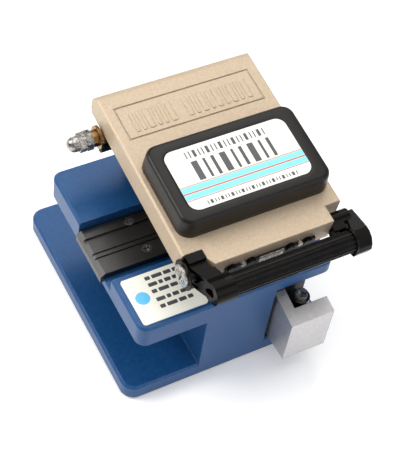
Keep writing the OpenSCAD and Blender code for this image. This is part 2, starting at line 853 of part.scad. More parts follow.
module lid_pad() {
  color("#232322") lid_space() difference() {
    translate([lid_x0 + pad_inset, pad_v0, lid_top]) slab(pad_w, pad_d, pad_h, pad_r, 1.2);
    label_plate(2);
  }
}

// the label's outline sunk into the top of the pad
module label_plate(t) {
  translate([lid_x0 + pad_inset + label_left, pad_v0 + label_front, lid_top + pad_h - label_t])
    tile(pad_w - label_left - label_right, pad_d - label_front - label_rear, t, 2.6);
}

module pad_label() {
  color("#f2f4f3") lid_space() label_plate(label_t);
}

// height of the lid underside above a point at depth y, lid closed
function under_lid(y) = hinge_z + hinge_drop / cos(closed_slope) + (y - hinge_y) * tan(closed_slope);

module clamp_bores() {
  for (x = [slide_x - 4.4, slide_x + 4.4]) {
    z_rod(1.5 + run_fit, frame_z0 - 1, frame_z0 + 6.4, x, fibre_y);
  }
  z_rod(1 + run_fit, frame_z0 - 1, frame_z0 + 6.4, slide_x, fibre_y);
}

module clamp_frame() {
  color("#242527") closed_space() difference() {
    along_x(frame_x0, frame_x1) polygon([
      [frame_y0, frame_z0],
      [frame_y1, frame_z0],
      [frame_y1, under_lid(frame_y1)],
      [frame_y0, under_lid(frame_y0)]
    ]);
    clamp_bores();
    for (x = [frame_x0 + 2, frame_x1 - 2]) {
      z_rod(1.3, frame_z0 - 1, frame_z0 + 1.4, x, frame_y0 + 2.4);
    }
  }
}

module clamp_frame_screws() {
  color("#9b9ea2") closed_space() {
    for (x = [frame_x0 + 2, frame_x1 - 2]) {
      difference() {
        z_rod(1.2, frame_z0 + 0.3, frame_z0 + 1.4, x, frame_y0 + 2.4);
        translate([x, frame_y0 + 2.4, frame_z0]) cylinder(r = 0.6, h = 0.9, $fn = 6);
      }
    }
  }
}

module plunger(x, r) {
  z_rod(r, clamp_z0 + 2.9, frame_z0 + 4.2, x, fibre_y);
}

module upper_clamp(x) {
  plunger(x, 1.5);
  span([x - 1.8, fibre_y - 5, clamp_z0 + 0.9], [x + 1.8, fibre_y + 5, clamp_z0 + 3]);
}

module upper_clamp_left() {
  color("#2d2e31") closed_space() upper_clamp(slide_x - 4.4);
}

module upper_clamp_right() {
  color("#2d2e31") closed_space() upper_clamp(slide_x + 4.4);
}

module upper_rubber(x) {
  span([x - 1.6, fibre_y - 4.6, clamp_z0], [x + 1.6, fibre_y + 4.6, clamp_z0 + 0.9]);
}

module upper_rubber_left() {
  color("#191919") closed_space() upper_rubber(slide_x - 4.4);
}

module upper_rubber_right() {
  color("#191919") closed_space() upper_rubber(slide_x + 4.4);
}

module anvil() {
  color("#c4c6c8") closed_space() {
    plunger(slide_x, 1);
    span([slide_x - 1, fibre_y - 2, clamp_z0 + 0.1], [slide_x + 1, fibre_y + 2, clamp_z0 + 3]);
  }
}

// short stack of turns above each plunger
module plunger_springs() {
  color("#85888c") closed_space() {
    for (x = [slide_x - 4.4, slide_x + 4.4]) {
      z_rod(0.9, frame_z0 + 5.5, frame_z0 + 6.4, x, fibre_y);
    }
    z_rod(0.6, frame_z0 + 5.5, frame_z0 + 6.4, slide_x, fibre_y);
  }
}

// places of the rubber stops and screws along the latch bar
stop_x = [latch_x0 + 1.6, latch_x0 + 7.1, latch_x1 - 7.3, latch_x1 - 2.3];
latch_screw_x = [latch_x0 + 4.8, latch_x1 - 4.6];

module latch_bar() {
  color("#1c1c1d") lid_space() difference() {
    along_x(latch_x0, latch_x1) polygon([
      [lip_v, hinge_drop + 0.5],
      [lip_v, hinge_drop + 3.1],
      [lid_front, hinge_drop + 3.1],
      [lid_front, hinge_drop],
      [lid_front + 8.4, hinge_drop],
      [lid_front + 8.4, hinge_drop - 4.3],
      [lid_front + 1.6, hinge_drop - 4.3],
      [lid_front + 1.6, hinge_drop - 1],
      [lid_front, hinge_drop - 0.4]
    ]);
    stop_rods();
    latch_screw_rods();
  }
}

module stop_rods() {
  for (x = stop_x) {
    y_rod(1.3, lid_front - 1.05, lid_front, x, hinge_drop + 2.55);
  }
}

module latch_screw_rods() {
  for (x = latch_screw_x) {
    y_rod(0.8, lid_front - 0.95, lid_front, x, hinge_drop + 2.9);
  }
}

module latch_magnet() {
  color("#c9ccce") lid_space()
    span([latch_x0 + 9.2, lip_v - 0.3, hinge_drop + 1.5], [latch_x1 - 9.5, lip_v, hinge_drop + 3.8]);
}

module latch_knobs() {
  color("#151515") lid_space() stop_rods();
}

module latch_screws() {
  color("#c9ccce") lid_space() latch_screw_rods();
}

// ---- handle ---------------------------------------------------------------

// side view of the left arm, with the tab that stands in the lid notch
module left_arm_outline() {
  b = lid_front + notch_d - 0.25;
  polygon([
    [b, pivot_z + 1],
    [b, lid_top + 0.5],
    [b - 2.5, lid_top + 0.5],
    [b - 2.7, lid_top - 0.75],
    [grip_v + 1.9, lid_top - 0.85],
    [grip_v + 0.9, grip_z + collar_d / 2],
    [grip_v, grip_z + collar_d / 2],
    [grip_v, grip_z - collar_d / 2 + 0.5],
    [pivot_v - 3, pivot_z - 3.4],
    [pivot_v, pivot_z - hub_r]
  ]);
}

// openings that leave a rim and a rib round the outer face of the left arm
module left_arm_pockets() {
  along_x(lid_x0 - 1, tongue_x0 - arm_gap - 0.9) {
    polygon([
      [pivot_v - 0.8, lid_top - 1.45],
      [grip_v + 2.1, lid_top - 1.55],
      [grip_v + 3, grip_z + 1.9],
      [grip_v + 3.5, grip_z + 0.2],
      [grip_v + 3.5, grip_z - 0.5],
      [pivot_v - 0.8, grip_z - 0.5]
    ]);
    polygon([
      [grip_v + 3.1, grip_z - 1.1],
      [pivot_v - 0.8, grip_z - 1.1],
      [pivot_v - 0.8, grip_z - 1.7],
      [pivot_v - 2.4, grip_z - 2.3],
      [grip_v + 2.8, grip_z - 2.1]
    ]);
  }
}

module handle_arm_left() {
  ax0 = lid_x0 + 0.4;
  ax1 = tongue_x0 - arm_gap;
  color("#1a1a1b") lid_space() difference() {
    union() {
      difference() {
        union() {
          along_x(ax0, ax1) left_arm_outline();
          along_x(ax1 - 0.1, loop_x + 3.6) polygon([
            [lid_front - 0.3, lid_top - 1.85],
            [lid_front - 0.3, lid_top - 0.8],
            [grip_v + 1.9, lid_top - 0.85],
            [grip_v + 0.9, grip_z + collar_d / 2],
            [grip_v, grip_z + collar_d / 2],
            [grip_v, grip_z + 2]
          ]);
        }
        column(-2, lid_top + 3) polygon([
          [ax0 - 1, pivot_v],
          [ax0, pivot_v],
          [ax0 + 2.4, grip_v + 1.8],
          [loop_x, grip_v],
          [loop_x, grip_v - 5],
          [ax0 - 1, grip_v - 5]
        ]);
        column(-2, lid_top + 3) polygon([
          [ax1, lid_front + 2.4],
          [tongue_x0 + 1, lid_front - 0.35],
          [loop_x + 3.6, lid_front - 2.6],
          [loop_x + 5, lid_front - 2.6],
          [loop_x + 5, lid_front + 2.4]
        ]);
        left_arm_pockets();
      }
      x_rod(hub_r, lid_x0 - 0.55, ax1, pivot_v, pivot_z);
      x_rod(boss_d / 2, lid_x0 - 0.55, lid_x0 - 0.15, pivot_v, pivot_z);
      x_rod(collar_d / 2, loop_x, grip_x0, grip_v, grip_z);
    }
    x_rod(pivot_r + run_fit, 0, base_w, pivot_v, pivot_z);
    x_rod(rod_r, grip_x0 - 4, grip_x0 + 1, grip_v, grip_z);
    x_rod(1.35, 0, grip_x0 - 4, grip_v, grip_z);
  }
}

// side view of the cover at the right end of the handle
module right_cover_outline() {
  polygon([
    [pivot_v + 2.1, pivot_z - 2],
    [pivot_v + 1.1, pivot_z + 0.7],
    [grip_v + 1.1, grip_z + 2.95],
    [grip_v - 0.4, grip_z + 2.95],
    [grip_v - 2, grip_z + 2.1],
    [grip_v - 3.1, grip_z + 0.55],
    [grip_v - 3.5, grip_z - 1.05],
    [grip_v - 2.9, grip_z - 3.25],
    [grip_v - 1.1, grip_z - 4.05],
    [pivot_v + 1.1, pivot_z - 2.8]
  ]);
}

module handle_arm_right() {
  ax0 = tongue_x1 + arm_gap;
  color("#1a1a1b") lid_space() difference() {
    union() {
      x_rod(2.2, ax0, cover_x0 + 1, pivot_v, pivot_z);
      along_x(ax0, grip_x1 + 0.2) polygon([
        [pivot_v + 1, pivot_z - 1.9],
        [pivot_v + 1, pivot_z + 1.9],
        [grip_v + 3.2, grip_z + 1.9],
        [grip_v + 3.2, grip_z - 2.2]
      ]);
      difference() {
        along_x(grip_x1 + 0.2, cover_x1) right_cover_outline();
        column(-2, lid_top + 3) polygon([
          [ax0, pivot_v + 3],
          [cover_x0 + 0.9, pivot_v + 3],
          [cover_x0 + 0.9, pivot_v + 1.1],
          [grip_x1 + 0.2, grip_v + 1.1],
          [ax0, grip_v + 1.1]
        ]);
      }
      x_rod(3.35, grip_x1, grip_x1 + 0.6, grip_v, grip_z);
      along_x(grip_x1 + 0.1, cover_x0 + 1.2) polygon([
        [pivot_v + 0.6, pivot_z - 1.9],
        [pivot_v + 0.6, pivot_z + 0.2],
        [grip_v + 1, grip_z + 1.9],
        [grip_v + 1, grip_z - 2.4]
      ]);
    }
    x_rod(pivot_r + run_fit, 0, cover_x0 - 0.2, pivot_v, pivot_z);
    x_rod(rod_r, 0, cover_x0 + 0.8, grip_v, grip_z);
  }
}

module handle_grip() {
  r = grip_d / 2;
  color("#202021") lid_space() along_x(grip_x0, grip_x1) difference() {
    translate([grip_v, grip_z]) circle(r = r);
    translate([grip_v, grip_z]) circle(r = rod_r);
    for (i = [0 : flute_count - 1]) {
      translate([grip_v, grip_z]) rotate(i * 360 / flute_count) translate([r + 0.08, 0])
        circle(r = 0.36);
    }
  }
}

module handle_rod() {
  color("#8b8e92") lid_space() x_rod(rod_r, grip_x0 - 4, cover_x0 + 0.8, grip_v, grip_z);
}

module pivot_screw() {
  hx0 = lid_x0 - 1.25;
  color("#d2d4d6") lid_space() difference() {
    union() {
      x_rod(pivot_head_d / 2, hx0, hx0 + 0.65, pivot_v, pivot_z);
      x_rod(pivot_r, hx0 + 0.65, tongue_x0 + 5, pivot_v, pivot_z);
    }
    span([hx0 - 1, pivot_v - 2.1, pivot_z - 0.35], [hx0 + 0.35, pivot_v + 2.1, pivot_z + 0.35]);
    span([hx0 - 1, pivot_v - 0.35, pivot_z - 2.1], [hx0 + 0.35, pivot_v + 0.35, pivot_z + 2.1]);
  }
}

module pivot_pin() {
  color("#b6b9bc") lid_space() x_rod(pivot_r, tongue_x1 - 5, cover_x0 - 0.5, pivot_v, pivot_z);
}

// ---- one file per node ----------------------------------------------------

base_frame();
rubber_feet();
fibre_guide_plate();
guide_screws();
platform_label();
label_disc();
lower_clamp_left();
lower_clamp_right();
lower_rubber_left();
lower_rubber_right();
catch_post();
hinge_bracket();
bracket_screws();
hinge_shaft();
hinge_brass_washer();
hinge_spacer();
hinge_hex_nut();
hinge_cap_nut();
shaft_collar();
anchor_pin();
lid_spring();
slide_rail();
rail_screws();
slide_carriage();
carriage_end_caps();
blade_bracket();
blade_axle();
slider_block();
block_screws();
adjuster_sleeve();
adjuster_screw();
bracket_screw();
blade_wheel();
lid();
hinge_bushes();
lid_pad();
pad_label();
clamp_frame();
clamp_frame_screws();
upper_clamp_left();
upper_clamp_right();
upper_rubber_left();
upper_rubber_right();
anvil();
plunger_springs();
latch_bar();
latch_magnet();
latch_knobs();
latch_screws();
handle_arm_left();
handle_arm_right();
handle_grip();
handle_rod();
pivot_screw();
pivot_pin();
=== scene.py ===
"""Looks of the bench cleaver for optical fibre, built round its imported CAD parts.

Lengths written as plain numbers are millimetres. In the corner frame x runs from the left edge of the
bottom plate, y from its front edge and z from its underside, and row() turns such points into metres in
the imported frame. In the lid frame x is the same, y runs along the lid from the hinge and z stands square
to the lid, and on_lid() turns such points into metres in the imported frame.
"""
import json
import math

import bpy
import numpy as np
from mathutils import Matrix, Vector


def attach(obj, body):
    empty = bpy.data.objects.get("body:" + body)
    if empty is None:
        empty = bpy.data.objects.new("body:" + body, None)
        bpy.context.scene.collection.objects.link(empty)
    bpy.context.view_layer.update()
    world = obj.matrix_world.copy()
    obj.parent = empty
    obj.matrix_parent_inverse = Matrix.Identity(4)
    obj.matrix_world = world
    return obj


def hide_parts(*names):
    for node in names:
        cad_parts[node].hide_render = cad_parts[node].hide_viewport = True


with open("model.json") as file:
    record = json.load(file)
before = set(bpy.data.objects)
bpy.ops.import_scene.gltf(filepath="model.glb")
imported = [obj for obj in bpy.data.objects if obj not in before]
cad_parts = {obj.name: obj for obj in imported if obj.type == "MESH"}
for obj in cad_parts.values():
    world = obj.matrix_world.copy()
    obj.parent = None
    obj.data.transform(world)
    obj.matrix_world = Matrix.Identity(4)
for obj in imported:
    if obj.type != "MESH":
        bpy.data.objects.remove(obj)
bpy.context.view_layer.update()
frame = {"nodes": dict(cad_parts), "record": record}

MM = 0.001
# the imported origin's place in the corner frame
CORNER = np.array([31.1, 28.3, -0.8])
HINGE_Y, HINGE_Z = 51.0, 45.5
LID_SLOPE = math.radians(6.25)
LID_TOP = 9.35
PLATFORM_Z = 31.7
# sides of the pad and of the label in its top, in the lid frame: x0, x1, y0, y1
PAD = (15.6, 58.1, -40.96, -15.96)
LABEL = (19.4, 53.6, -37.56, -19.86)
PAD_TOP = LID_TOP + 6.0
# printing stands this much proud, with its foot sunk a little into what carries it
PRINT_HEIGHT = 0.05
PRINT_SUNK = 0.03


# ---- places ---------------------------------------------------------------

def row(points):
    """Corner-frame millimetres into packed metres: subtract the origin's place, then scale."""
    return (np.asarray(points, float) - CORNER) * MM


def on_lid(points):
    """Lid-frame millimetres (x, along the lid, off the lid) into packed metres: a turn by the lid's slope
    about the hinge axis, then a shift to the hinge."""
    p = np.asarray(points, float)
    c, s = math.cos(LID_SLOPE), math.sin(LID_SLOPE)
    y = HINGE_Y + p[..., 1] * c - p[..., 2] * s
    z = HINGE_Z + p[..., 1] * s + p[..., 2] * c
    return row(np.stack([p[..., 0], y, z], axis=-1))


# ---- meshes ---------------------------------------------------------------

def new_piece(name, verts, faces, smooth=True):
    """An object at the origin whose mesh holds verts (n x 3, metres) and faces (lists of indices)."""
    mesh = bpy.data.meshes.new(name)
    mesh.from_pydata(np.asarray(verts, float).tolist(), [], faces)
    mesh.update()
    mesh.polygons.foreach_set("use_smooth", [smooth] * len(mesh.polygons))
    piece = bpy.data.objects.new(name, mesh)
    bpy.context.scene.collection.objects.link(piece)
    return piece


def grid_faces(rows, columns):
    """Quads between neighbouring rings of a grid that is closed along its columns."""
    i, j = np.meshgrid(np.arange(rows - 1), np.arange(columns), indexing="ij")
    k = (j + 1) % columns
    near, far = i * columns, (i + 1) * columns
    return np.stack([near + j, near + k, far + k, far + j], axis=-1).reshape(-1, 4).tolist()


def rounded_ring(x0, x1, y0, y1, radius, count=12):
    """Outline of a rectangle with round corners, anticlockwise: at each corner a quarter turn of the
    radius about a centre set in by the radius from both sides."""
    turn = np.linspace(0, math.pi / 2, count)
    corners = [(x1 - radius, y0 + radius, -math.pi / 2), (x1 - radius, y1 - radius, 0),
               (x0 + radius, y1 - radius, math.pi / 2), (x0 + radius, y0 + radius, math.pi)]
    parts = [np.stack([cx + radius * np.cos(turn + a), cy + radius * np.sin(turn + a)], axis=-1)
             for cx, cy, a in corners]
    return np.concatenate(parts)


def moulded_block(name, profile, place):
    """A moulded block: each (x0, x1, y0, y1, corner radius, height) of the profile gives one rounded
    ring, the rings are joined side to side, and the first and last ring are closed flat."""
    rings = []
    for x0, x1, y0, y1, radius, height in profile:
        ring = rounded_ring(x0, x1, y0, y1, radius)
        rings.append(np.column_stack([ring, np.full(len(ring), height)]))
    n = len(rings[0])
    faces = grid_faces(len(rings), n)
    faces.append(list(range(n))[::-1])
    faces.append([(len(rings) - 1) * n + j for j in range(n)])
    return new_piece(name, place(np.concatenate(rings)), faces)


def wire(name, path, radius, sides=10):
    """A round wire along a path: at each point a circle of the radius, square to the path, whose first
    spoke is carried on from the point before and made square again, and flat caps at both ends."""
    p = np.asarray(path, float)
    t = np.gradient(p, axis=0)
    t /= np.linalg.norm(t, axis=1)[:, None]
    spokes = np.zeros_like(p)
    spoke = np.cross(t[0], [0.3, 0.5, 0.81])
    for i, tangent in enumerate(t):
        spoke = spoke - (spoke @ tangent) * tangent
        spoke /= np.linalg.norm(spoke)
        spokes[i] = spoke
    others = np.cross(t, spokes)
    a = np.arange(sides) * 2 * math.pi / sides
    across, along = np.cos(a)[None, :, None], np.sin(a)[None, :, None]
    rings = p[:, None] + radius * (across * spokes[:, None] + along * others[:, None])
    faces = grid_faces(len(p), sides)
    faces.append(list(range(sides))[::-1])
    faces.append([(len(p) - 1) * sides + j for j in range(sides)])
    return new_piece(name, row(rings.reshape(-1, 3)), faces)


def printed_bars(name, bars, base, height, radius, place):
    """Flat bars with round corners, all in one mesh: each (x0, x1, y0, y1) is a rounded ring at the base
    and the same ring raised by the height, closed at the bottom and the top."""
    verts, faces, start = [], [], 0
    for x0, x1, y0, y1 in bars:
        r = min(radius, (x1 - x0) / 2.01, (y1 - y0) / 2.01)
        ring = rounded_ring(x0, x1, y0, y1, r, 4)
        n = len(ring)
        verts.append(np.column_stack([ring, np.full(n, base)]))
        verts.append(np.column_stack([ring, np.full(n, base + height)]))
        faces += [[start + i for i in face] for face in grid_faces(2, n)]
        faces.append([start + j for j in range(n)][::-1])
        faces.append([start + n + j for j in range(n)])
        start += 2 * n
    return new_piece(name, place(np.concatenate(verts)), faces, smooth=False)


# ---- shader groups --------------------------------------------------------

def add(tree, kind, **sets):
    """A node of that kind; names in sets are its properties, and in_ names its input values."""
    n = tree.nodes.new(kind)
    for key, value in sets.items():
        if key.startswith("in_"):
            n.inputs[key[3:].replace("_", " ")].default_value = value
        else:
            setattr(n, key, value)
    return n


def maths(tree, operation, a, b=None, c=None, clamp=False):
    """A Math node's output; a, b and c are numbers or sockets."""
    n = tree.nodes.new("ShaderNodeMath")
    n.operation, n.use_clamp = operation, clamp
    for i, v in enumerate((a, b, c)):
        if v is None:
            continue
        if isinstance(v, (int, float)):
            n.inputs[i].default_value = v
        else:
            tree.links.new(v, n.inputs[i])
    return n.outputs[0]


def open_group(name, inputs, outputs):
    """An empty shader group with those named sockets, and its own input and output nodes."""
    g = bpy.data.node_groups.new(name, "ShaderNodeTree")
    for label, kind, value in inputs:
        s = g.interface.new_socket(label, in_out="INPUT", socket_type=kind)
        if value is not None:
            s.default_value = value
    for label, kind in outputs:
        g.interface.new_socket(label, in_out="OUTPUT", socket_type=kind)
    return g, g.nodes.new("NodeGroupInput"), g.nodes.new("NodeGroupOutput")


def grain_group():
    """Fine grain of a blasted or moulded surface: two sizes of noise make the height, and a sparse cell
    pattern makes separate bright specks."""
    inputs = [("Size", "NodeSocketFloat", 0.2), ("Speck Size", "NodeSocketFloat", 0.3)]
    outputs = [("Height", "NodeSocketFloat"), ("Specks", "NodeSocketFloat"), ("Cloud", "NodeSocketFloat")]
    g, gi, go = open_group("grain", inputs, outputs)
    co = add(g, "ShaderNodeTexCoord").outputs["Object"]
    size = maths(g, "DIVIDE", 1 / MM, gi.outputs["Size"])
    fine = add(g, "ShaderNodeTexNoise", in_Detail=3.0, in_Roughness=0.6)
    g.links.new(co, fine.inputs["Vector"])
    g.links.new(size, fine.inputs["Scale"])
    coarse = add(g, "ShaderNodeTexNoise", in_Detail=2.0, in_Roughness=0.5)
    g.links.new(co, coarse.inputs["Vector"])
    g.links.new(maths(g, "MULTIPLY", size, 0.31), coarse.inputs["Scale"])
    height = maths(g, "MULTIPLY_ADD", coarse.outputs[0], 0.45, maths(g, "MULTIPLY", fine.outputs[0], 0.55))
    cells = add(g, "ShaderNodeTexVoronoi", feature="F1")
    g.links.new(co, cells.inputs["Vector"])
    g.links.new(maths(g, "DIVIDE", 1 / MM, gi.outputs["Speck Size"]), cells.inputs["Scale"])
    near = maths(g, "SUBTRACT", 1.0, maths(g, "MULTIPLY", cells.outputs["Distance"], 2.6, clamp=True))
    pick = add(g, "ShaderNodeSeparateColor")
    g.links.new(cells.outputs["Color"], pick.inputs[0])
    chosen = maths(g, "GREATER_THAN", pick.outputs[0], 0.72)
    g.links.new(height, go.inputs["Height"])
    g.links.new(maths(g, "MULTIPLY", near, chosen), go.inputs["Specks"])
    g.links.new(coarse.outputs[0], go.inputs["Cloud"])
    return g


def edge_group():
    """Worn and highlit edges: the softened normal of a small radius leans away from the true one only near
    an edge, and that lean, broken up by noise, is the mask; callers paint along it an edge tone that is
    partly wear and partly painted highlight. The softened normal itself is put out for the highlights."""
    inputs = [("Radius", "NodeSocketFloat", 0.3), ("Amount", "NodeSocketFloat", 0.5),
              ("Patch Size", "NodeSocketFloat", 3.0)]
    outputs = [("Mask", "NodeSocketFloat"), ("Normal", "NodeSocketVector")]
    g, gi, go = open_group("edge_wear_and_highlight", inputs, outputs)
    soft = add(g, "ShaderNodeBevel", samples=4)
    g.links.new(maths(g, "MULTIPLY", gi.outputs["Radius"], MM), soft.inputs["Radius"])
    true = add(g, "ShaderNodeNewGeometry")
    dot = add(g, "ShaderNodeVectorMath", operation="DOT_PRODUCT")
    g.links.new(soft.outputs[0], dot.inputs[0])
    g.links.new(true.outputs["Normal"], dot.inputs[1])
    lean = maths(g, "MULTIPLY", maths(g, "SUBTRACT", 1.0, dot.outputs["Value"]), 5.0, clamp=True)
    co = add(g, "ShaderNodeTexCoord").outputs["Object"]
    patch = add(g, "ShaderNodeTexNoise", in_Detail=4.0, in_Roughness=0.65)
    g.links.new(co, patch.inputs["Vector"])
    g.links.new(maths(g, "DIVIDE", 1 / MM, gi.outputs["Patch Size"]), patch.inputs["Scale"])
    broken = maths(g, "MULTIPLY", maths(g, "SUBTRACT", patch.outputs[0], 0.42), 5.0, clamp=True)
    # mask of the edges that get a tone which is partly wear and partly painted highlight
    worn_and_highlit = maths(g, "MULTIPLY", lean, broken)
    g.links.new(maths(g, "MULTIPLY", worn_and_highlit, gi.outputs["Amount"], clamp=True), go.inputs["Mask"])
    g.links.new(soft.outputs[0], go.inputs["Normal"])
    return g


def handled_group():
    """Traces of handling: broad soft clouds and thin smears, as one value round zero that shifts
    roughness and tone."""
    g, gi, go = open_group("handled", [("Size", "NodeSocketFloat", 9.0), ("Amount", "NodeSocketFloat", 0.1)],
                           [("Shift", "NodeSocketFloat")])
    co = add(g, "ShaderNodeTexCoord").outputs["Object"]
    scale = maths(g, "DIVIDE", 1 / MM, gi.outputs["Size"])
    broad = add(g, "ShaderNodeTexNoise", in_Detail=5.0, in_Roughness=0.6, in_Distortion=0.6)
    g.links.new(co, broad.inputs["Vector"])
    g.links.new(scale, broad.inputs["Scale"])
    stretch = add(g, "ShaderNodeMapping")
    stretch.inputs["Rotation"].default_value = (0.0, 0.0, 0.6)
    stretch.inputs["Scale"].default_value = (1.0, 7.0, 1.0)
    g.links.new(co, stretch.inputs["Vector"])
    thin = add(g, "ShaderNodeTexNoise", in_Detail=3.0)
    g.links.new(stretch.outputs[0], thin.inputs["Vector"])
    g.links.new(scale, thin.inputs["Scale"])
    both = maths(g, "ADD", maths(g, "SUBTRACT", broad.outputs[0], 0.5),
                 maths(g, "MULTIPLY", maths(g, "SUBTRACT", thin.outputs[0], 0.5), 0.5))
    g.links.new(maths(g, "MULTIPLY", both, gi.outputs["Amount"]), go.inputs["Shift"])
    return g


def turned_group():
    """Tool marks of turned or ground metal: noise that is squeezed flat along the cutting direction forms
    fine lines. Axis Scale sets how fine they are along each axis."""
    g, gi, go = open_group("tool_marks", [("Axis Scale", "NodeSocketVector", (6.0, 0.6, 0.6))],
                           [("Lines", "NodeSocketFloat")])
    co = add(g, "ShaderNodeTexCoord").outputs["Object"]
    squeeze = add(g, "ShaderNodeVectorMath", operation="MULTIPLY")
    g.links.new(co, squeeze.inputs[0])
    g.links.new(gi.outputs["Axis Scale"], squeeze.inputs[1])
    lines = add(g, "ShaderNodeTexNoise", in_Scale=1 / MM, in_Detail=3.0, in_Roughness=0.7)
    g.links.new(squeeze.outputs[0], lines.inputs["Vector"])
    g.links.new(lines.outputs[0], go.inputs["Lines"])
    return g


GRAIN, EDGE, HANDLED, TURNED = grain_group(), edge_group(), handled_group(), turned_group()


def use(tree, group, **values):
    """A group placed in a material, with its own values."""
    n = tree.nodes.new("ShaderNodeGroup")
    n.node_tree = group
    for key, value in values.items():
        n.inputs[key.replace("_", " ")].default_value = value
    return n


def mixed(tree, factor, a, b):
    """Colour a turned into colour b by the factor."""
    n = add(tree, "ShaderNodeMix", data_type="RGBA", clamp_factor=True)
    tree.links.new(factor, n.inputs[0])
    for socket, v in ((n.inputs[6], a), (n.inputs[7], b)):
        if isinstance(v, tuple):
            socket.default_value = (*v, 1.0)
        else:
            tree.links.new(v, socket)
    return n.outputs[2]


def start_material(name):
    """A material with only a Principled shader and its output."""
    m = bpy.data.materials.new(name)
    m.use_nodes = True
    tree = m.node_tree
    shader = next(n for n in tree.nodes if n.type == "BSDF_PRINCIPLED")
    return m, tree, shader


def finish_material(tree, shader, height, edge, strength, depth):
    """The bump on top of the softened edge normal."""
    bump = add(tree, "ShaderNodeBump", in_Strength=strength, in_Distance=depth * MM)
    tree.links.new(height, bump.inputs["Height"])
    if edge is not None:
        tree.links.new(edge.outputs["Normal"], bump.inputs["Normal"])
    tree.links.new(bump.outputs[0], shader.inputs["Normal"])


def coated(name, colour, light, worn_and_highlit, metallic, roughness, grain, speck, specks=0.0, bump=0.2, depth=0.02,
           radius=0.3, wear_and_highlight=0.5, coat=0.0, handled=0.12, gloss=0.5, drift=0.55):
    """Painted, anodised or moulded finish: the colour drifts a little towards the light tone with the
    grain's clouds and specks, and on edges turns to the worn_and_highlit tone, which is partly real wear and
    partly painted edge highlight. Roughness moves with grain and handling."""
    m, t, s = start_material(name)
    g = use(t, GRAIN, Size=grain, Speck_Size=speck)
    e = use(t, EDGE, Radius=radius, Amount=wear_and_highlight, Patch_Size=2.2)
    h = use(t, HANDLED, Size=11.0, Amount=handled)
    shift = maths(t, "MULTIPLY_ADD", g.outputs["Cloud"], drift, maths(t, "MULTIPLY", h.outputs[0], 2.0))
    tone = mixed(t, maths(t, "SUBTRACT", shift, drift * 0.3, clamp=True), colour, light)
    if specks:
        bright = tuple(min(1.0, c * 1.5 + 0.06) for c in light)
        tone = mixed(t, maths(t, "MULTIPLY", g.outputs["Specks"], specks), tone, bright)
    # edge tone: partly real wear, partly a painted highlight along the edges
    t.links.new(mixed(t, e.outputs["Mask"], tone, worn_and_highlit), s.inputs["Base Color"])
    uneven = maths(t, "MULTIPLY_ADD", g.outputs["Height"], 0.16, roughness - 0.08)
    rough = maths(t, "ADD", uneven, h.outputs[0], clamp=True)
    t.links.new(rough, s.inputs["Roughness"])
    s.inputs["Metallic"].default_value = metallic
    s.inputs["Coat Weight"].default_value = coat
    s.inputs["Coat Roughness"].default_value = 0.25
    s.inputs["Specular IOR Level"].default_value = gloss
    finish_material(t, s, g.outputs["Height"], e, bump, depth)
    return m


def bare_metal(name, colour, dark, roughness, axis_scale, bump=0.08, radius=0.15, handled=0.1, blast=0.0,
               metallic=1.0, contrast=1.0):
    """Bare metal: fine tool marks in colour, roughness and height, duller where it has been handled and
    brighter on its edges, partly as wear and partly as painted highlight. Blast above zero adds a blasted
    grain, and contrast above one parts the light and dark tones."""
    m, t, s = start_material(name)
    lines = use(t, TURNED, Axis_Scale=axis_scale)
    e = use(t, EDGE, Radius=radius, Amount=0.7, Patch_Size=1.2)
    h = use(t, HANDLED, Size=5.0, Amount=handled)
    sharp = maths(t, "MULTIPLY_ADD", lines.outputs[0], contrast, 0.5 - 0.5 * contrast)
    tone = mixed(t, maths(t, "MULTIPLY_ADD", h.outputs[0], 1.5, sharp, clamp=True), dark, colour)
    # brighter edge tone: partly wear, partly a painted highlight
    bright = tuple(min(1.0, c * 1.2 + 0.04) for c in colour)
    t.links.new(mixed(t, e.outputs["Mask"], tone, bright), s.inputs["Base Color"])
    uneven = maths(t, "MULTIPLY_ADD", lines.outputs[0], 0.14, roughness - 0.07)
    rough = maths(t, "ADD", uneven, h.outputs[0], clamp=True)
    t.links.new(rough, s.inputs["Roughness"])
    s.inputs["Metallic"].default_value = metallic
    height = lines.outputs[0]
    if blast:
        g = use(t, GRAIN, Size=0.16, Speck_Size=0.3)
        height = maths(t, "MULTIPLY_ADD", g.outputs["Height"], blast, lines.outputs[0])
    finish_material(t, s, height, e, bump, 0.02)
    return m


def printed(name, colour, faded, roughness, coat):
    """Printed film: a smooth coated sheet whose tone fades a little in patches and whose surface waves
    slightly."""
    m, t, s = start_material(name)
    h = use(t, HANDLED, Size=7.0, Amount=0.25)
    g = use(t, GRAIN, Size=0.5, Speck_Size=0.8)
    fading = maths(t, "MULTIPLY_ADD", h.outputs[0], 2.0, 0.35, clamp=True)
    t.links.new(mixed(t, fading, colour, faded), s.inputs["Base Color"])
    t.links.new(maths(t, "ADD", h.outputs[0], roughness, clamp=True), s.inputs["Roughness"])
    s.inputs["Coat Weight"].default_value = coat
    s.inputs["Coat Roughness"].default_value = 0.15
    finish_material(t, s, g.outputs["Height"], None, 0.05, 0.01)
    return m
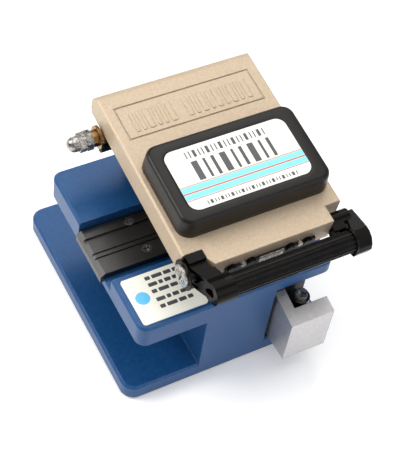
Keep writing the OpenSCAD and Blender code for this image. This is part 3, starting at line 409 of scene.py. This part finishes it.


# one finish for each slot of the record; colours are linear red, green and blue
# the third colour of each coated finish is its edge tone, partly wear and partly painted edge highlight; on
# the black parts it is mostly painted highlight lines
finishes = {
    "frame_blue": coated(
        "blue_anodised", (0.006, 0.056, 0.175), (0.022, 0.120, 0.29), (0.14, 0.28, 0.48), metallic=0.15,
        roughness=0.36, grain=0.35, speck=0.5, specks=0.08, bump=0.12, depth=0.015, radius=0.45, wear_and_highlight=0.3,
        coat=0.06, gloss=0.32),
    "foot_rubber": coated(
        "foot_rubber", (0.012, 0.012, 0.012), (0.03, 0.03, 0.03), (0.06, 0.06, 0.06), metallic=0.0,
        roughness=0.8, grain=0.3, speck=0.5, bump=0.4, depth=0.03, radius=0.25, wear_and_highlight=0.4, gloss=0.3),
    "guide_black": coated(
        "guide_black", (0.006, 0.0055, 0.006), (0.014, 0.013, 0.013), (0.09, 0.085, 0.08), metallic=0.0,
        roughness=0.36, grain=0.25, speck=0.4, bump=0.15, depth=0.012, radius=0.2, wear_and_highlight=0.4, handled=0.2,
        gloss=0.7),
    "bright_steel": bare_metal(
        "bright_steel", (0.78, 0.77, 0.75), (0.10, 0.10, 0.10), 0.5, (1.6, 1.6, 1.6), metallic=0.6,
        contrast=1.8),
    "dark_steel": bare_metal(
        "dark_steel", (0.22, 0.215, 0.21), (0.04, 0.038, 0.035), 0.34, (2.0, 2.0, 2.0), metallic=0.8),
    "label_white": printed("label_film", (0.84, 0.84, 0.77), (0.72, 0.72, 0.63), 0.34, 0.2),
    "label_blue": printed("label_cyan", (0.045, 0.42, 0.75), (0.10, 0.52, 0.80), 0.32, 0.3),
    "clamp_rubber": coated(
        "clamp_rubber", (0.012, 0.012, 0.012), (0.03, 0.03, 0.03), (0.05, 0.05, 0.05), metallic=0.0,
        roughness=0.75, grain=0.2, speck=0.4, bump=0.3, depth=0.02, radius=0.12, wear_and_highlight=0.3),
    "bracket_black": coated(
        "bracket_black", (0.006, 0.006, 0.007), (0.016, 0.016, 0.018), (0.10, 0.10, 0.11), metallic=0.2,
        roughness=0.42, grain=0.25, speck=0.4, bump=0.15, depth=0.012, radius=0.2, wear_and_highlight=0.5, gloss=0.3),
    "brass_ring": bare_metal(
        "turned_brass", (0.46, 0.28, 0.11), (0.10, 0.055, 0.02), 0.24, (9.0, 1.0, 1.0)),
    # the plated nut's strongly parted dark and bright patches are painted reflections of the surroundings
    "nut_chrome": bare_metal(
        "plated_nut_painted_reflections", (0.72, 0.69, 0.64), (0.03, 0.027, 0.024), 0.27, (0.9, 0.9, 0.9), metallic=0.8,
        contrast=2.4),
    "spring_steel": bare_metal(
        "spring_wire", (0.34, 0.34, 0.35), (0.16, 0.16, 0.17), 0.3, (4.0, 4.0, 4.0)),
    "end_cap_green": coated(
        "end_cap_green", (0.015, 0.10, 0.045), (0.03, 0.15, 0.07), (0.1, 0.25, 0.15), metallic=0.0,
        roughness=0.5, grain=0.3, speck=0.5, radius=0.2),
    "bracket_grey": coated(
        "bracket_grey", (0.03, 0.032, 0.036), (0.055, 0.058, 0.065), (0.3, 0.3, 0.31), metallic=0.6,
        roughness=0.38, grain=0.25, speck=0.4, radius=0.2, wear_and_highlight=0.5),
    "block_metal": bare_metal(
        "blasted_block", (0.70, 0.68, 0.68), (0.44, 0.435, 0.44), 0.46, (0.9, 0.9, 0.9), bump=0.5,
        radius=0.3, handled=0.14, blast=2.4),
    "sleeve_chrome": bare_metal(
        "sleeve_dark", (0.20, 0.19, 0.17), (0.08, 0.075, 0.07), 0.2, (1.0, 1.0, 8.0)),
    "blade_metal": bare_metal(
        "ground_blade", (0.45, 0.46, 0.48), (0.25, 0.26, 0.28), 0.2, (1.0, 6.0, 6.0)),
    "lid_champagne": coated(
        "champagne_paint", (0.46, 0.355, 0.245), (0.60, 0.48, 0.35), (0.82, 0.73, 0.60), metallic=0.3,
        roughness=0.46, grain=0.22, speck=0.30, specks=0.35, bump=1.0, depth=0.14, radius=0.35, wear_and_highlight=0.4,
        coat=0.05, drift=1.1),
    "pad_black": coated(
        "pad_rubber", (0.005, 0.004, 0.003), (0.013, 0.010, 0.008), (0.04, 0.034, 0.028), metallic=0.0,
        roughness=0.36, grain=0.28, speck=0.45, bump=0.25, depth=0.02, radius=0.4, wear_and_highlight=0.3, handled=0.18,
        gloss=0.25),
    "handle_black": coated(
        "handle_plastic", (0.0025, 0.002, 0.0016), (0.006, 0.0048, 0.004), (0.10, 0.08, 0.07), metallic=0.0,
        roughness=0.2, grain=0.3, speck=0.5, bump=0.06, depth=0.01, radius=0.16, wear_and_highlight=0.5, handled=0.14,
        gloss=0.1),
}
ink = printed("printed_ink", (0.035, 0.035, 0.04), (0.08, 0.08, 0.085), 0.4, 0.1)
thin_red = printed("printed_red", (0.50, 0.10, 0.10), (0.6, 0.2, 0.18), 0.4, 0.1)
aqua = printed("printed_aqua", (0.13, 0.66, 0.74), (0.30, 0.75, 0.80), 0.34, 0.3)


def dress(piece, material):
    """Puts the one material on a piece."""
    piece.data.materials.clear()
    piece.data.materials.append(material)


for part in frame["record"]["subparts"]:
    dress(frame["nodes"][part["node"]], finishes[part["material_slot"]])


# ---- new pieces -----------------------------------------------------------

def grown(sides, by):
    """The sides (x0, x1, y0, y1) of a rectangle moved outwards by the same distance."""
    x0, x1, y0, y1 = sides
    return (x0 - by, x1 + by, y0 - by, y1 + by)


def pad_rings():
    """Rings of the soft pad from its foot to its label: walls that lean in a little, a quarter circle
    over the top edge, a flat border, and a small round step down to the label."""
    corner, edge, lean, label_corner = 3.6, 1.2, 0.35, 2.6
    rings = []
    for inset, height in ((0.0, LID_TOP), (0.05, LID_TOP + 1.5), (0.3, PAD_TOP - 1.7)):
        rings.append((*grown(PAD, -inset), corner - inset, height))
    for a in np.linspace(0, math.pi / 2, 8):
        inset = lean + edge * (1 - math.cos(a))
        rings.append((*grown(PAD, -inset), corner - inset, PAD_TOP - edge + edge * math.sin(a)))
    for by, height in ((1.0, PAD_TOP), (0.2, PAD_TOP), (0.02, PAD_TOP - 0.08), (0.0, PAD_TOP - 0.3)):
        rings.append((*grown(LABEL, by), label_corner + by, height))
    return rings


pad = moulded_block("soft_pad", pad_rings(), on_lid)
dress(pad, finishes["pad_black"])
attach(pad, "lid")
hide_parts("lid_pad")


def coil_path():
    """Middle line of the lid spring: a straight leg from the front to where it meets the coil, a closely
    wound helix about the hinge axis, and a straight leg down to the bracket."""
    mean = 2.35
    x0, x1 = 27.7, 39.1
    turns = 12
    # the front end of the leg, from the hinge axis
    tip = np.array([-11.0, -0.75])
    reach = np.linalg.norm(tip)
    meet = math.atan2(tip[1], tip[0]) + math.acos(mean / reach)
    a = np.linspace(meet, -math.pi + 2 * math.pi * turns, 40 * turns)
    x = np.linspace(x0, x1, len(a))
    helix = np.stack([x, HINGE_Y + mean * np.cos(a), HINGE_Z + mean * np.sin(a)], axis=-1)
    leg_in = np.linspace([x0, HINGE_Y + tip[0], HINGE_Z + tip[1]], helix[0], 14)[:-1]
    bracket_foot = 2.0
    leg_out = np.linspace(helix[-1], [x1, HINGE_Y - mean, PLATFORM_Z + bracket_foot], 14)[1:]
    return np.concatenate([leg_in, helix, leg_out])


WIRE_RADIUS = 0.42
spring = wire("wound_spring", coil_path(), WIRE_RADIUS)
dress(spring, finishes["spring_steel"])
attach(spring, "frame")
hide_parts("lid_spring")

BAND_DEPTH, RULE_DEPTH = 1.5, 0.2
label_print = PAD_TOP - PRINT_SUNK
label_x = np.array([LABEL[0] + 0.05, LABEL[1] - 0.05])
bands = [(*label_x, y, y + BAND_DEPTH) for y in (-34.35, -32.25)]
stripes = printed_bars("label_stripes", bands, label_print, PRINT_HEIGHT, 0.05, on_lid)
dress(stripes, aqua)
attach(stripes, "lid")
thin_lines = [(*label_x, y, y + RULE_DEPTH) for y in (-34.65, -32.75, -32.55, -30.65)]
rules = printed_bars("label_rules", thin_lines, label_print, PRINT_HEIGHT, 0.05, on_lid)
dress(rules, thin_red)
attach(rules, "lid")


def bar_row(start, end, low, high, widths, gap):
    """A row of plain bars from start to end: the widths are repeated in turn, with one gap between them."""
    bars, x, i = [], start, 0
    while x + widths[i % len(widths)] <= end:
        bars.append((x, x + widths[i % len(widths)], low, high))
        x += widths[i % len(widths)] + gap
        i += 1
    return bars


label_bars = bar_row(24.9, 48.1, -23.3, -21.2, (0.3, 0.3, 0.8), 0.75)
label_bars += bar_row(25.3, 47.3, -30.0, -24.3, (1.7, 0.7, 0.9), 1.5)
label_bars += bar_row(24.1, 49.5, -36.9, -35.8, (0.25, 0.7, 0.25), 0.55)
bars = printed_bars("label_bars", label_bars, label_print, PRINT_HEIGHT, 0.12, on_lid)
dress(bars, ink)
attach(bars, "lid")

NOTE_BAR_DEPTH, NOTE_TOP = 1.1, PLATFORM_Z + 0.3
note_bars = []
for i, y in enumerate((13.4, 11.3, 9.2, 6.6, 4.4)):
    widths = (2.4, 1.1, 1.7) if i % 2 else (1.4, 2.8, 2.0)
    note_bars += bar_row(9.6, 20.4, y, y + NOTE_BAR_DEPTH, widths, 0.5)
note = printed_bars("note_bars", note_bars, NOTE_TOP - PRINT_SUNK, PRINT_HEIGHT, 0.2, row)
dress(note, ink)
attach(note, "frame")

RIB_LOW, RIB_HIGH, RIB_GAP = -7.9, -1.9, 1.0
RIB_SUNK, RIB_HEIGHT = 0.1, 0.3
ribs = bar_row(19.6, 31.5, RIB_LOW, RIB_HIGH, (0.9, 0.9, 1.5), RIB_GAP)
ribs += bar_row(34.6, 53.2, RIB_LOW, RIB_HIGH, (1.4, 0.9), RIB_GAP)
rib_piece = printed_bars("raised_ribs", ribs, LID_TOP - RIB_SUNK, RIB_HEIGHT, 0.4, on_lid)
dress(rib_piece, finishes["lid_champagne"])
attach(rib_piece, "lid")


# ---- floor, light and camera ----------------------------------------------

def plain_floor():
    """A wide pale sheet at the level of the feet."""
    z, half = 0.0, 3.0
    corners = [(-half, -half, z), (half, -half, z), (half, half, z), (-half, half, z)]
    floor = new_piece("floor", corners, [[0, 1, 2, 3]], smooth=False)
    m, t, s = start_material("floor_sheet")
    g = use(t, GRAIN, Size=4.0, Speck_Size=6.0)
    tone = mixed(t, g.outputs["Cloud"], (0.94, 0.94, 0.94), (0.97, 0.97, 0.97))
    t.links.new(tone, s.inputs["Base Color"])
    s.inputs["Roughness"].default_value = 0.9
    s.inputs["Emission Color"].default_value = (1.0, 1.0, 1.0, 1.0)
    s.inputs["Emission Strength"].default_value = 0.16
    dress(floor, m)


def area_light(name, place, target, size, power, colour=(1.0, 1.0, 1.0)):
    """A square soft light at a place, turned towards its target."""
    data = bpy.data.lights.new(name, "AREA")
    data.shape, data.size, data.energy, data.color = "SQUARE", size, power, colour
    light = bpy.data.objects.new(name, data)
    light.location = place
    light.rotation_euler = (Vector(target) - Vector(place)).to_track_quat("-Z", "Y").to_euler()
    bpy.context.scene.collection.objects.link(light)


plain_floor()
middle = (0.0, 0.0, 0.02)
area_light("left_back", (-0.45, 0.25, 0.45), middle, 0.35, 3.1, (1.0, 0.99, 0.97))
area_light("overhead", (0.05, 0.05, 0.7), middle, 0.6, 2.1)
area_light("right_back", (0.25, 0.38, 0.55), middle, 0.3, 0.9, (1.0, 0.98, 0.96))
area_light("front_fill", (0.25, -0.6, 0.35), middle, 0.5, 1.15, (0.88, 0.90, 1.0))
world = bpy.data.worlds.new("studio")
bpy.context.scene.world = world
world.use_nodes = True
world.node_tree.nodes["Background"].inputs[0].default_value = (1.0, 1.0, 1.0, 1.0)
world.node_tree.nodes["Background"].inputs[1].default_value = 0.5


def add_camera(target, azimuth, elevation, roll, distance, lens):
    """A camera that looks at target from distance: azimuth turns its view from +Y towards +X, elevation
    is how far it looks down, and roll turns it about its own axis."""
    a, e, r = (math.radians(v) for v in (azimuth, elevation, roll))
    ahead = Vector((math.sin(a) * math.cos(e), math.cos(a) * math.cos(e), -math.sin(e)))
    right = Vector((math.cos(a), -math.sin(a), 0.0))
    up = right.cross(ahead)
    right_r = right * math.cos(r) + up * math.sin(r)
    up_r = up * math.cos(r) - right * math.sin(r)
    data = bpy.data.cameras.new("camera")
    data.lens, data.sensor_width = lens, 36.0
    data.clip_start, data.clip_end = 0.01, 10.0
    camera = bpy.data.objects.new("camera", data)
    turn = Matrix((right_r, up_r, -ahead)).transposed()
    camera.matrix_world = Matrix.Translation(Vector(target) - ahead * distance) @ turn.to_4x4()
    bpy.context.scene.collection.objects.link(camera)
    bpy.context.scene.camera = camera


add_camera(target=(0.00208, -0.00104, 0.02592), azimuth=35.59, elevation=51.72, roll=10.15, distance=0.3421,
           lens=100.84)
bpy.context.scene.view_settings.view_transform = "Standard"
